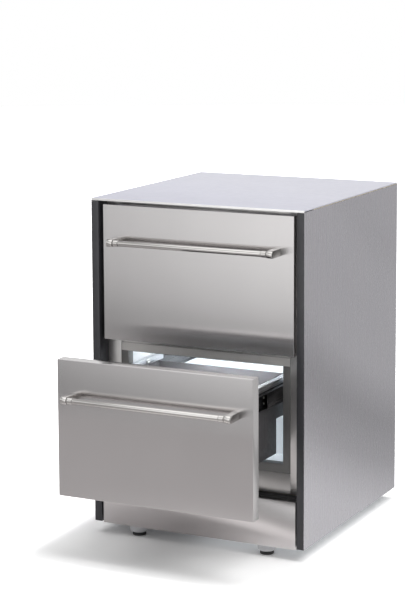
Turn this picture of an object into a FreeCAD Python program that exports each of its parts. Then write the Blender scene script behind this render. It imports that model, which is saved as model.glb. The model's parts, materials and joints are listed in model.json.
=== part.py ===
"""Undercounter refrigerator with two drawers, as a parametric document.

Millimetres, +Z up. The origin is on the floor, in the plane of the cabinet's
front trim and on its centre line: +X is the right-hand side as seen from the
front, +Y runs into the cabinet. The upper drawer is shut and the lower one is
pulled out by lower_open.
"""
import FreeCAD, Part
import math
import os
import re

import Sketcher

V = FreeCAD.Vector

# Driving dimensions, each written once. They become the cells of the sheet.
DIMENSIONS = {
    # cabinet
    "cabinet_width": 606, "cabinet_depth": 639, "cabinet_height": 897,
    "panel_bottom": 31, "side_sheet": 1.2, "side_return": 14,
    "top_sheet": 1.2, "top_lip": 6, "top_side_lip": 3, "top_seam": 1.5,
    "back_sheet": 1.2, "trim_width": 19.8, "trim_sheet": 1.6,
    "vent_slot_width": 64, "vent_slot_height": 6, "vent_pitch": 14,
    "vent_bottom": 92, "vent_rows": 8, "seat_clearance": 0.3,
    # face frame and the two openings
    "frame_recess": 47.5, "frame_sheet": 1.5, "frame_lip": 8, "bottom_rail": 53.2,
    "border": 20.8, "border_rail": 23.2, "border_throat": 25, "border_wall": 2.5,
    "opening_width": 446.4, "opening_bottom_lower": 233.8,
    "opening_height_lower": 255.2, "mullion_height": 22.6, "header": 47,
    # liners, insulation and the machine space
    "liner_wall": 2, "liner_sump": 42.8, "lower_liner_gap": 139,
    "upper_liner_gap": 64, "step_front": 287, "step_top": 335, "foam_floor": 45,
    "foam_step": 40, "foam_front_gap": 0.7, "base_lift": 2, "base_sheet": 2,
    "base_flange": 26, "base_inset": 0.6, "base_front": 16,
    # drawers
    "front_side_gap": 10.25, "front_thickness": 32, "front_recess": 6.5,
    "front_sheet": 1.2, "front_overlap_low": 45.6, "front_overlap_mid": 5.8,
    "front_gap": 7, "front_reveal": 16, "inner_panel": 3, "plateau_depth": 5.5,
    "plateau_margin": 10, "gasket_width": 12, "gasket_magnet": 4, "lower_open": 242,
    # handles
    "handle_drop": 93, "handle_stand_off": 43, "bar_diameter": 15,
    "collar_diameter": 17, "collar_length": 14, "groove_diameter": 12.5,
    "groove_length": 1.6, "post_height": 19.5, "post_width": 17, "handle_length": 470,
    # bins and their rails
    "slide_room": 12.2, "bin_wall": 2, "bin_back_gap": 34, "bin_step_gap": 11,
    "bin_step_rise": 20, "bin_lift": 31, "bin_back_drop": 23, "rail_height": 16,
    "rail_width": 13, "rail_overhang": 2, "rail_drop": 32, "rail_groove": 1.5,
    "seam_place": 213, "seam_width": 4, "seam_proud": 0.8,
    # telescopic slides
    "slide_height": 45, "slide_gauge": 1.2, "slide_front_gap": 2, "slide_overhang": 8,
    "slide_gap": 0.5, "slide_reach": 8,
    # kick plate and levelling legs
    "kick_drop": 3, "kick_top_gap": 5.4, "kick_gap": 4, "kick_sheet": 1.2,
    "kick_recess": 2,
    "leg_inset": 117, "leg_front": 31, "leg_back_inset": 27, "pad_diameter": 37,
    "pad_height": 10, "collar_radius": 25, "leg_bevel": 4, "stud_diameter": 10,
    "stud_top": 56, "thread_clearance": 0.05,
    # refrigeration
    "compressor_side": 183.8, "compressor_back": 119, "compressor_radius": 84,
    "compressor_height": 178, "compressor_round": 25, "grommet_height": 12,
    "grommet_radius": 11, "grommet_groove": 3.3, "foot_plate": 3, "foot_spread": 78,
    "terminal_depth": 34, "terminal_height": 62,
    "coil_tube": 8, "condenser_pitch": 30, "coil_rows": 7, "condenser_side": 39.8,
    "condenser_spacing": 60, "condenser_gap": 23, "condenser_depth": 44,
    "fin_pitch": 9, "fin_sheet": 0.6, "fan_inset": 31, "fan_depth": 30,
    "fan_gap": 6, "fan_ring_gap": 4, "fan_hub": 52, "fan_blades": 5, "fan_strut": 3,
    "fan_sheet": 2, "fan_spindle": 6, "spindle_clearance": 0.05, "motor_gap": 0.5,
    "tray_side": 31.8, "tray_gap": 79, "tray_fan_gap": 18, "tray_back": 39,
    "tray_height": 30, "tray_wall": 2.5,
    "drier_radius": 10, "drier_length": 90, "line_radius": 4, "line_bend": 14,
    "line_gap": 2, "port_length": 12,
    "evaporator_side": 61, "evaporator_rows": 5, "evaporator_pitch": 26,
    "evaporator_gap": 53, "evaporator_depth": 30, "evaporator_lift": 60,
    "cover_gap": 97, "cover_sheet": 2, "cover_slots": 7, "cover_slot_width": 150,
    "cover_slot_height": 6, "cover_slot_pitch": 14, "cover_slot_lift": 30,
    "duct_fan_size": 120, "duct_fan_depth": 25, "duct_fan_drop": 18,
    # electrical
    "control_width": 118, "control_depth": 52, "control_height": 96,
    "control_side": 9.8, "control_gap": 16, "control_round": 4,
    "light_length": 260, "light_depth": 24, "light_height": 9, "light_front": 90,
    "inlet_width": 48, "inlet_height": 28, "inlet_depth": 24, "inlet_side": 65.8,
    "inlet_lift": 236, "inlet_flange": 6, "pin_pitch": 12, "pin_width": 2,
    "pin_height": 4,
}

# Places and sizes that follow from the driving dimensions.
DERIVED = {
    "half_width": "cabinet_width / 2",
    "side_inner": "half_width - side_sheet",
    "side_top": "cabinet_height - top_side_lip - top_seam",
    "back_inner": "cabinet_depth - back_sheet",
    "trim_inner": "side_inner - trim_width",
    "frame_back": "frame_recess + frame_sheet",
    "frame_top": "foam_top",
    "frame_bottom": "lower_border_bottom - bottom_rail",
    "opening_half": "opening_width / 2",
    "border_half": "opening_half + border",
    "throat_back": "frame_back + border_throat",
    "open_top_lower": "opening_bottom_lower + opening_height_lower",
    "lower_border_bottom": "opening_bottom_lower - border_rail",
    "lower_border_top": "open_top_lower + border_rail",
    "upper_border_bottom": "lower_border_top + mullion_height",
    "opening_bottom_upper": "upper_border_bottom + border_rail",
    "open_top_upper": "cabinet_height - header",
    "upper_border_top": "open_top_upper + border_rail",
    "liner_margin": "border_wall + seat_clearance",
    "liner_half": "opening_half + liner_margin",
    "liner_outer": "liner_half + liner_wall",
    "lower_liner_back": "cabinet_depth - lower_liner_gap",
    "upper_liner_back": "cabinet_depth - upper_liner_gap",
    "lower_ceiling": "open_top_lower + liner_margin",
    "upper_ceiling": "open_top_upper + liner_margin",
    "lower_sill": "opening_bottom_lower - liner_margin",
    "upper_floor": "opening_bottom_upper - liner_margin",
    "lower_floor": "opening_bottom_lower - liner_sump",
    "foam_front": "frame_back + frame_lip + foam_front_gap",
    "foam_bottom": "lower_floor - liner_wall - foam_floor",
    "foam_top": "cabinet_height - top_sheet",
    "machine_front": "step_front + liner_wall + foam_step",
    "machine_top": "step_top - liner_wall - foam_step",
    "base_half": "side_inner - base_inset",
    "base_bottom": "panel_bottom + base_lift",
    "base_top": "base_bottom + base_sheet",
    "base_back": "back_inner - base_inset",
    "front_half": "trim_inner - front_side_gap",
    "front_back": "front_recess + front_thickness",
    "lower_front_bottom": "lower_border_bottom - front_overlap_low",
    "lower_front_top": "lower_border_top + front_overlap_mid",
    "upper_front_bottom": "lower_front_top + front_gap",
    "upper_front_top": "cabinet_height - front_reveal",
    "plateau_half": "opening_half - plateau_margin",
    "plateau_back": "front_back + plateau_depth",
    "gasket_half": "(opening_half + border_half) / 2",
    "gasket_back": "frame_recess - seat_clearance",
    "handle_half": "handle_length / 2",
    "bar_half": "handle_half - post_width",
    "bin_half": "opening_half - slide_room",
    "bin_front": "plateau_back",
    "bin_back": "cover_front - bin_back_gap",
    "bin_step": "step_front - bin_step_gap",
    "rail_outer": "bin_half + rail_overhang",
    "slide_front": "throat_back + slide_front_gap",
    "slide_back": "bin_back + slide_overhang",
    "kick_half": "trim_inner - kick_gap",
    "kick_bottom": "panel_bottom - kick_drop",
    "kick_top": "frame_bottom - kick_top_gap",
    "leg_spread": "half_width - leg_inset",
    "leg_back": "cabinet_depth - leg_back_inset",
    "leg_collar_top": "kick_bottom - seat_clearance",
    "compressor_place": "side_inner - compressor_side",
    "compressor_depth": "cabinet_depth - compressor_back",
    "compressor_foot": "base_top + grommet_height",
    "compressor_plate_half": "foot_spread + grommet_radius",
    "seam_height": "compressor_foot + foot_plate + compressor_height * 0.55",
    "port_height": "compressor_foot + foot_plate + compressor_height * 0.7",
    "condenser_left": "condenser_side - side_inner",
    "condenser_right": "compressor_place - compressor_radius - condenser_spacing",
    "condenser_width": "condenser_right - condenser_left",
    "condenser_front": "machine_front + condenser_gap",
    "coil_bottom": "base_top + coil_tube * 1.5",
    "fan_axis_place": "(condenser_left + condenser_right) / 2",
    "fan_front": "condenser_front + condenser_depth + fan_gap",
    "fan_size": "min(condenser_width; machine_top - base_top) - fan_inset",
    "fan_height": "base_top + fan_size / 2",
    "tray_left": "tray_side - side_inner",
    "tray_right": "compressor_place - compressor_plate_half - tray_gap",
    "tray_front": "fan_front + fan_depth + tray_fan_gap",
    "tray_end": "cabinet_depth - tray_back",
    "evaporator_half": "liner_half - evaporator_side",
    "evaporator_front": "upper_liner_back - evaporator_gap",
    "evaporator_bottom": "upper_floor + evaporator_lift",
    "cover_front": "upper_liner_back - cover_gap",
    "duct_fan_front": "cover_front + cover_sheet",
    "duct_fan_height": "upper_ceiling - duct_fan_drop - duct_fan_size / 2",
    "control_right": "side_inner - control_side",
    "control_front": "machine_front + control_gap",
    "inlet_place": "side_inner - inlet_side",
}

document = FreeCAD.newDocument("drawer_refrigerator")
sheet = document.addObject("Spreadsheet::Sheet", "Dimensions")
for row, alias in enumerate((*DIMENSIONS, *DERIVED), start=1):
    sheet.set("A%d" % row, alias)
    sheet.setAlias("B%d" % row, alias)
for alias, number in DIMENSIONS.items():
    sheet.set(alias, str(number))
for alias, formula in DERIVED.items():
    sheet.set(alias, "=" + formula)
document.recompute()

WORD = re.compile(r"[a-z][a-z_]*[a-z]")
nodes = []


def expression(text):
    """A formula in words, with each word turned into its cell of the sheet."""
    def word(match):
        name = match.group(0)
        if name in DIMENSIONS or name in DERIVED:
            return "Dimensions." + name
        return name
    return WORD.sub(word, str(text))


def size(text):
    """The same formula's value, for code that needs a plain number."""
    def word(match):
        return repr(float(getattr(sheet, match.group(0))))
    return float(FreeCAD.Units.Quantity(WORD.sub(word, str(text))).Value)


def add(kind, name):
    return document.addObject(kind, name)


def box(name, x, y, z):
    """A block between two planes along each axis, each plane a formula."""
    item = add("Part::Box", name)
    for axis, side, (low, high) in zip("xyz", ("Length", "Width", "Height"), (x, y, z)):
        item.setExpression("Placement.Base." + axis, expression(low))
        item.setExpression(side, expression("(%s) - (%s)" % (high, low)))
    return item


TURN = {"x": FreeCAD.Rotation(V(0, 1, 0), 90), "y": FreeCAD.Rotation(V(1, 0, 0), -90),
        "z": FreeCAD.Rotation()}


def rod(name, axis, radius, centre, low, high, top_radius=None):
    """A cylinder, or a cone, along one axis; centre holds the other two places."""
    item = add("Part::Cone" if top_radius else "Part::Cylinder", name)
    places = dict(zip([other for other in "xyz" if other != axis], centre))
    places[axis] = low
    item.Placement = FreeCAD.Placement(V(), TURN[axis])
    for along, place in places.items():
        item.setExpression("Placement.Base." + along, expression(place))
    item.setExpression("Height", expression("(%s) - (%s)" % (high, low)))
    if top_radius:
        item.setExpression("Radius1", expression(radius))
        item.setExpression("Radius2", expression(top_radius))
    else:
        item.setExpression("Radius", expression(radius))
    return item


def fuse(name, *items):
    item = add("Part::MultiFuse", name)
    item.Shapes = list(items)
    item.Refine = True
    return item


def cut(name, base, *tools):
    tool = tools[0] if len(tools) == 1 else fuse(name + "_tools", *tools)
    item = add("Part::Cut", name)
    item.Base, item.Tool = base, tool
    item.Refine = True
    return item


def group(name, *items):
    """Several separate solids of one node."""
    item = add("Part::Compound", name)
    item.Links = list(items)
    return item


def rounded(name, base, radius, chosen):
    """Base with one radius on each edge for which chosen(edge) is true."""
    document.recompute()
    item = add("Part::Fillet", name)
    item.Base = base
    value = size(radius)
    item.Edges = [(number, value, value)
                  for number, edge in enumerate(base.Shape.Edges, start=1) if chosen(edge)]
    return item


def profile(name, plane, points, low, high):
    """A closed outline in one plane, padded between two planes across it.

    The plane is XY (padded along Z) or YZ (padded along X); each corner is held
    by two distances from the origin, and each distance is a formula.
    """
    body = add("PartDesign::Body", name)
    sketch = body.newObject("Sketcher::SketchObject", name + "_outline")
    ground = [face for face in body.Origin.OriginFeatures if face.Role == plane + "_Plane"]
    sketch.AttachmentSupport = [(ground[0], "")]
    sketch.MapMode = "FlatFace"
    sketch.setExpression("AttachmentOffset.Base.z", expression(low))
    corners = [V(size(across), size(up), 0) for across, up in points]
    count = len(corners)
    for index in range(count):
        sketch.addGeometry(Part.LineSegment(corners[index], corners[(index + 1) % count]))
    for index in range(count):
        sketch.addConstraint(Sketcher.Constraint(
            "Coincident", index, 2, (index + 1) % count, 1))
    for index, (across, up) in enumerate(points):
        for kind, formula, value in (("DistanceX", across, corners[index].x),
                                     ("DistanceY", up, corners[index].y)):
            held = sketch.addConstraint(Sketcher.Constraint(kind, -1, 1, index, 1, value))
            sketch.setExpression("Constraints[%d]" % held, expression(formula))
    pad = body.newObject("PartDesign::Pad", name + "_pad")
    pad.Profile = sketch
    pad.setExpression("Length", expression("(%s) - (%s)" % (high, low)))
    body.Tip = pad
    return body


def made(name, shape):
    """A piece whose shape comes from a function of its own."""
    item = add("Part::Feature", name)
    item.Shape = shape
    return item


def node(item, label):
    item.Label = label
    nodes.append(item)
    return item


def negative(formula):
    return "0 - (%s)" % formula


def across(half):
    """From minus to plus one formula."""
    return negative(half), half


def mirrored(sign, inner, outer):
    """The span between two distances from the middle, on the left or right."""
    return (inner, outer) if sign > 0 else (negative(outer), negative(inner))


def signed(sign, formula):
    return formula if sign > 0 else negative(formula)


SIDES = (("left", -1), ("right", 1))
CUT = "1"  # how far a cutting tool stands out of the face that it opens


def cabinet_shell():
    for side, sign in SIDES:
        def at(formula):
            return signed(sign, formula)
        node(profile(
            "side_%s" % side, "XY",
            [(at("half_width"), "0"), (at("half_width"), "cabinet_depth"),
             (at("half_width - side_return"), "cabinet_depth"),
             (at("half_width - side_return"), "back_inner"),
             (at("side_inner"), "back_inner"), (at("side_inner"), "0")],
            "panel_bottom", "side_top"), "side_panel_" + side)
        strip = profile(
            "trim_strip_%s" % side, "XY",
            [(at("trim_inner"), "0"), (at("side_inner"), "0"),
             (at("side_inner"), "trim_sheet"), (at("trim_inner + trim_sheet"), "trim_sheet"),
             (at("trim_inner + trim_sheet"), "frame_recess"),
             (at("trim_inner"), "frame_recess")],
            "panel_bottom", "cabinet_height - top_lip - top_sheet / 2")
        notch = box("trim_notch", mirrored(sign, "trim_inner - " + CUT, "side_inner"),
                    ("base_front - seat_clearance", "frame_recess + " + CUT),
                    ("panel_bottom - " + CUT,
                     "base_bottom + base_flange + seat_clearance"))
        node(cut("trim_%s" % side, strip, notch), "front_trim_" + side)

    top = ("cabinet_height - top_sheet", "cabinet_height")
    side_lip = ("cabinet_height - top_side_lip", "cabinet_height")
    node(fuse(
        "top_pan",
        box("top_sheet_flat", across("half_width"), ("0", "cabinet_depth"), top),
        box("top_front_lip", across("side_inner"), ("0", "top_sheet"),
            ("cabinet_height - top_lip", "cabinet_height")),
        box("top_back_lip", across("side_inner"), ("back_inner", "cabinet_depth"), side_lip),
        *[box("top_lip_" + side, mirrored(sign, "side_inner", "half_width"),
              ("0", "cabinet_depth"), side_lip) for side, sign in SIDES]), "top_panel")

    back = box("back_flat", across("half_width - side_return"),
               ("back_inner", "cabinet_depth"), ("panel_bottom", "side_top"))
    slots = []
    for row in range(int(size("vent_rows"))):
        for column in (-1, 0, 1):
            middle = "%d * (vent_slot_width + vent_pitch)" % column
            low = "vent_bottom + %d * vent_pitch" % row
            slots.append(box(
                "vent_slot", (middle + " - vent_slot_width / 2", middle + " + vent_slot_width / 2"),
                ("back_inner - " + CUT, "cabinet_depth + " + CUT),
                (low, low + " + vent_slot_height")))
    socket = box("inlet_window", ("inlet_place - inlet_width / 2", "inlet_place + inlet_width / 2"),
                 ("back_inner - " + CUT, "cabinet_depth + " + CUT),
                 ("inlet_lift - inlet_height / 2", "inlet_lift + inlet_height / 2"))
    node(cut("back_sheet_cut", back, socket, *slots), "back_panel")


def base():
    holes = [rod("leg_hole", "z", "stud_diameter / 2 + thread_clearance",
                 (signed(sign, "leg_spread"), depth), "base_bottom - " + CUT,
                 "base_top + " + CUT)
             for _, sign in SIDES for depth in ("leg_front", "leg_back")]
    outside = box("base_outside", across("base_half"), ("base_front", "base_back"),
                  ("base_bottom", "base_bottom + base_flange"))
    inside = box("base_inside", across("base_half - base_sheet"),
                 ("base_front + base_sheet", "base_back - base_sheet"),
                 ("base_top", "base_bottom + base_flange + " + CUT))
    node(cut("base_tray", outside, inside, *holes), "base_pan")

    outside = box("kick_outside", across("kick_half"), ("kick_recess", "base_front"),
                  ("kick_bottom", "kick_top"))
    inside = box("kick_inside", across("kick_half - kick_sheet"),
                 ("kick_recess + kick_sheet", "base_front + " + CUT),
                 ("kick_bottom + kick_sheet", "kick_top - kick_sheet"))
    node(cut("kick_fold", outside, inside), "kick_plate")


def levelling_legs():
    for side, sign in SIDES:
        for end, depth in (("front", "leg_front"), ("back", "leg_back")):
            centre = (signed(sign, "leg_spread"), depth)
            name = "leg_%s_%s" % (end, side)
            stem = fuse(
                name + "_stem",
                rod(name + "_stud", "z", "stud_diameter / 2", centre,
                    "pad_height", "stud_top"),
                rod(name + "_collar", "z", "collar_radius", centre,
                    "pad_height + leg_bevel", "leg_collar_top"),
                rod(name + "_bevel", "z", "collar_radius - leg_bevel", centre,
                    "pad_height", "pad_height + leg_bevel", "collar_radius"))
            pad = rod(name + "_pad", "z", "pad_diameter / 2", centre, "0", "pad_height")
            node(group(name + "_pieces", stem, pad), "levelling_leg_%s_%s" % (end, side))


def face_frame():
    plate = ("frame_recess", "frame_back")
    lip = ("frame_back", "frame_back + frame_lip")
    tall = ("frame_bottom", "frame_top")
    for side, sign in SIDES:
        node(fuse("stile_" + side,
                  box("stile_plate", mirrored(sign, "border_half", "side_inner"), plate, tall),
                  box("stile_lip", mirrored(sign, "border_half", "border_half + frame_sheet"),
                      lip, tall)), "frame_stile_" + side)
    rails = (("top", "upper_border_top", "frame_top"),
             ("middle", "lower_border_top", "upper_border_bottom"),
             ("bottom", "frame_bottom", "lower_border_bottom"))
    for name, low, high in rails:
        node(fuse("rail_" + name,
                  box("rail_plate", across("border_half"), plate, (low, high)),
                  box("rail_lip_low", across("border_half"), lip,
                      (low, low + " + frame_sheet")),
                  box("rail_lip_high", across("border_half"), lip,
                      (high + " - frame_sheet", high))), "frame_rail_" + name)
    openings = (("upper", "upper_border_bottom", "upper_border_top",
                 "opening_bottom_upper", "open_top_upper"),
                ("lower", "lower_border_bottom", "lower_border_top",
                 "opening_bottom_lower", "open_top_lower"))
    for level, low, high, open_low, open_high in openings:
        face = box(level + "_border", across("border_half"), plate, (low, high))
        throat = box(level + "_throat", across("opening_half + border_wall"),
                     ("frame_back", "throat_back"),
                     (open_low + " - border_wall", open_high + " + border_wall"))
        hole = box(level + "_mouth", across("opening_half"),
                   ("frame_recess - " + CUT, "throat_back + " + CUT), (open_low, open_high))
        node(cut(level + "_ring", fuse(level + "_flanged", face, throat), hole),
             level + "_opening_frame")


LOWER_LINER_OUTSIDE = [
    ("frame_back", "lower_sill - liner_wall"), ("throat_back", "lower_sill - liner_wall"),
    ("throat_back", "lower_floor - liner_wall"),
    ("step_front + liner_wall", "lower_floor - liner_wall"),
    ("step_front + liner_wall", "step_top - liner_wall"),
    ("lower_liner_back + liner_wall", "step_top - liner_wall"),
    ("lower_liner_back + liner_wall", "lower_ceiling + liner_wall"),
    ("frame_back", "lower_ceiling + liner_wall")]
LOWER_LINER_INSIDE = [
    ("frame_back - " + CUT, "lower_sill"), ("throat_back + liner_wall", "lower_sill"),
    ("throat_back + liner_wall", "lower_floor"), ("step_front", "lower_floor"),
    ("step_front", "step_top"), ("lower_liner_back", "step_top"),
    ("lower_liner_back", "lower_ceiling"), ("frame_back - " + CUT, "lower_ceiling")]


def upper_liner_outside(name):
    return box(name, across("liner_outer"), ("frame_back", "upper_liner_back + liner_wall"),
               ("upper_floor - liner_wall", "upper_ceiling + liner_wall"))


def liners():
    inside = box("upper_cavity", across("liner_half"),
                 ("frame_back - " + CUT, "upper_liner_back"), ("upper_floor", "upper_ceiling"))
    node(cut("upper_tub", upper_liner_outside("upper_tub_outside"), inside), "upper_liner")
    node(cut("lower_tub",
             profile("lower_tub_outside", "YZ", LOWER_LINER_OUTSIDE, *across("liner_outer")),
             profile("lower_cavity", "YZ", LOWER_LINER_INSIDE, *across("liner_half"))),
         "lower_liner")
    block = profile(
        "foam_block", "YZ",
        [("foam_front", "foam_bottom"), ("machine_front", "foam_bottom"),
         ("machine_front", "machine_top"), ("back_inner", "machine_top"),
         ("back_inner", "foam_top"), ("foam_front", "foam_top")], *across("side_inner"))
    node(cut("foam_hollowed", block, upper_liner_outside("foam_upper_hollow"),
             profile("foam_lower_hollow", "YZ", LOWER_LINER_OUTSIDE, *across("liner_outer"))),
         "cabinet_insulation")


def finned_coil(name, left, width, front, depth, bottom, rows, pitch, plate_back,
                plate_bottom):
    """A serpentine tube through a row of fins, with a carrying plate at each end."""
    middle = "%s + %s / 2" % (front, depth)
    right = "%s + %s" % (left, width)
    tube = "coil_tube / 2"
    tall = ("%s - coil_tube" % bottom,
            "%s + (%s - 1) * %s + coil_tube" % (bottom, rows, pitch))
    pieces = []
    for row in range(int(size(rows))):
        height = "%s + %d * %s" % (bottom, row, pitch)
        pieces.append(rod(name + "_run", "x", tube, (middle, height),
                          left + " - coil_tube", right + " + coil_tube"))
        if row:
            bend = add("Part::Torus", name + "_bend")
            bend.Placement = FreeCAD.Placement(
                V(), FreeCAD.Rotation(V(1, 0, 0), 90)
                * FreeCAD.Rotation(V(0, 0, 1), -90 if row % 2 else 90))
            bend.Angle3 = 180
            bend.setExpression("Radius1", expression("%s / 2" % pitch))
            bend.setExpression("Radius2", expression(tube))
            ends = (right + " + coil_tube") if row % 2 else (left + " - coil_tube")
            for axis, place in zip("xyz", (ends, middle, height + " - %s / 2" % pitch)):
                bend.setExpression("Placement.Base." + axis, expression(place))
            pieces.append(bend)
    for fin in range(1, int(size(width) / size("fin_pitch"))):
        place = "%s + %d * fin_pitch" % (left, fin)
        pieces.append(box(name + "_fin", (place, place + " + fin_sheet"),
                          (front, "%s + %s" % (front, depth)), tall))
    for low, high in ((left, left + " + side_sheet"), (right + " - side_sheet", right)):
        pieces.append(box(name + "_plate", (low, high), (front, plate_back),
                          (plate_bottom, tall[1])))
    return pieces


def fan_frame(name, place, front, height, breadth, depth):
    """A square frame round a ring, with struts that hold the motor and its spindle."""
    across_frame = ("%s - %s / 2" % (place, breadth), "%s + %s / 2" % (place, breadth))
    up_frame = ("%s - %s / 2" % (height, breadth), "%s + %s / 2" % (height, breadth))
    back = "%s + %s" % (front, depth)
    opened = cut(name + "_opened",
                 box(name + "_block", across_frame, (front, back), up_frame),
                 rod(name + "_ring", "y", "%s / 2 - fan_ring_gap * 2" % breadth,
                     (place, height), front + " - " + CUT, back + " + " + CUT))
    strut = ("%s - fan_strut" % back, back)
    centre = (place, height)
    return fuse(
        name + "_whole", opened,
        box(name + "_strut_flat", ("%s - %s / 2 + fan_ring_gap" % (place, breadth),
                                   "%s + %s / 2 - fan_ring_gap" % (place, breadth)),
            strut, (height + " - fan_spindle", height + " + fan_spindle")),
        box(name + "_strut_tall", (place + " - fan_spindle", place + " + fan_spindle"),
            strut, ("%s - %s / 2 + fan_ring_gap" % (height, breadth),
                    "%s + %s / 2 - fan_ring_gap" % (height, breadth))),
        rod(name + "_motor", "y", "fan_hub / 2 - fan_spindle / 2", centre,
            front + " + %s * 0.6" % depth, back),
        rod(name + "_spindle", "y", "fan_spindle / 2", centre,
            front + " + fan_sheet", back))


def fan_blades(name, place, front, height, breadth, depth):
    """A hub bored for the spindle, with twisted blades lofted from root to tip."""
    low, high = size(front + " + fan_sheet"), size("%s + %s * 0.6 - motor_gap" % (front, depth))
    centre = V(size(place), (low + high) / 2, size(height))
    hub_radius = size("fan_hub / 2")
    ring = size("%s / 2 - fan_ring_gap * 3" % breadth)
    half_chord = math.pi * hub_radius / size("fan_blades") * 0.8
    tip = math.sqrt(ring ** 2 - half_chord ** 2)
    hub = Part.makeCylinder(hub_radius, high - low, V(centre.x, low, centre.z), V(0, 1, 0))
    bore = Part.makeCylinder(size("fan_spindle / 2 + spindle_clearance"), high - low,
                             V(centre.x, low, centre.z), V(0, 1, 0))
    half_sheet = size("fan_sheet") / 2
    sections = []
    for radius, pitch_angle in ((hub_radius * 0.7, 38), (tip, 24)):
        slope = math.radians(pitch_angle)
        half_depth = min(half_chord * math.sin(slope), (high - low) / 2 - half_sheet)
        half_width = half_chord * math.cos(slope)
        corners = [V(along * half_width, along * half_depth + thick * half_sheet, radius)
                   for along, thick in ((-1, -1), (1, -1), (1, 1), (-1, 1))]
        sections.append(Part.makePolygon(corners + corners[:1]))
    blade = Part.makeLoft(sections, True, True)
    blade.translate(centre)
    blades = [blade.rotated(centre, V(0, 1, 0), 360 / size("fan_blades") * turn)
              for turn in range(int(size("fan_blades")))]
    return made(name, hub.multiFuse(blades).cut(bore).removeSplitter())


def tube_along(corners, radius, bend):
    """A round tube along straight runs joined by arcs of one radius."""
    edges, start = [], corners[0]
    for before, corner, after in zip(corners, corners[1:], corners[2:]):
        into, out = (corner - before).normalize(), (after - corner).normalize()
        turn = into.getAngle(out)
        reach = bend * math.tan(turn / 2)
        first, last = corner - into * reach, corner + out * reach
        inward = (out - into).normalize()
        middle = corner + inward * (bend / math.cos(turn / 2) - bend)
        edges += [Part.LineSegment(start, first).toShape(),
                  Part.Arc(first, middle, last).toShape()]
        start = last
    edges.append(Part.LineSegment(start, corners[-1]).toShape())
    path = Part.Wire(edges)
    heading = (corners[1] - corners[0]).normalize()
    ring = Part.Wire([Part.makeCircle(radius, corners[0], heading)])
    return path.makePipeShell([ring], True, True)


def compressor():
    centre = ("compressor_place", "compressor_depth")
    shell_low = "compressor_foot + foot_plate"
    shell_high = shell_low + " + compressor_height"
    shell = rounded("compressor_can",
                    rod("compressor_can_plain", "z", "compressor_radius", centre,
                        shell_low, shell_high),
                    "compressor_round",
                    lambda edge: edge.Curve.TypeId == "Part::GeomCircle")
    plate = box("compressor_plate", ("compressor_place - compressor_plate_half",
                                     "compressor_place + compressor_plate_half"),
                ("compressor_depth - foot_spread", "compressor_depth + foot_spread"),
                ("compressor_foot", shell_low + " + foot_plate"))
    node(fuse("compressor_whole", shell, plate,
              rod("compressor_port", "x", "line_radius * 1.5",
                  ("compressor_depth", "port_height"),
                  "compressor_place - compressor_radius - port_length", "compressor_place"),
              rod("compressor_seam", "z", "compressor_radius + foot_plate", centre,
                  "seam_height", "seam_height + foot_plate")), "compressor")

    grommets = []
    for _, sign in SIDES:
        for _, far in SIDES:
            place = ("compressor_place + " + signed(sign, "foot_spread"),
                     "compressor_depth + " + signed(far, "(foot_spread - grommet_radius)"))
            grommets.append(fuse(
                "grommet",
                rod("grommet_low", "z", "grommet_radius", place, "base_top",
                    "base_top + grommet_height / 2 - grommet_groove / 2"),
                rod("grommet_neck", "z", "grommet_radius - grommet_groove", place,
                    "base_top", "compressor_foot"),
                rod("grommet_high", "z", "grommet_radius", place,
                    "base_top + grommet_height / 2 + grommet_groove / 2",
                    "compressor_foot")))
    node(group("compressor_grommet_set", *grommets), "compressor_grommets")

    outer = "compressor_place + compressor_radius"
    shelter = box("terminal_block", (outer + " - terminal_depth / 2", outer + " + terminal_depth"),
                  ("compressor_depth - terminal_height / 2",
                   "compressor_depth + terminal_height / 2"),
                  ("seam_height - terminal_height - foot_plate", "seam_height - foot_plate"))
    node(cut("terminal_hood", shelter,
             rod("terminal_bed", "z", "compressor_radius + seat_clearance", centre,
                 shell_low, shell_high)), "compressor_terminal_cover")


def condenser_and_fan():
    node(fuse("condenser_whole", *finned_coil(
        "condenser", "condenser_left", "condenser_width", "condenser_front",
        "condenser_depth", "coil_bottom", "coil_rows", "condenser_pitch",
        "fan_front", "base_top")), "condenser_coil")
    place = ("fan_axis_place", "fan_front", "fan_height", "fan_size", "fan_depth")
    node(fan_frame("condenser_fan", *place), "condenser_fan_frame")
    node(fan_blades("condenser_blades", *place), "condenser_fan_blade")
    tray = ("tray_left", "tray_right"), ("tray_front", "tray_end")
    outside = box("tray_outside", tray[0], tray[1], ("base_top", "base_top + tray_height"))
    inside = box("tray_inside",
                 ("tray_left + tray_wall", "tray_right - tray_wall"),
                 ("tray_front + tray_wall", "tray_end - tray_wall"),
                 ("base_top + tray_wall", "base_top + tray_height + " + CUT))
    node(cut("tray_hollowed", outside, inside), "drip_tray")


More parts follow.
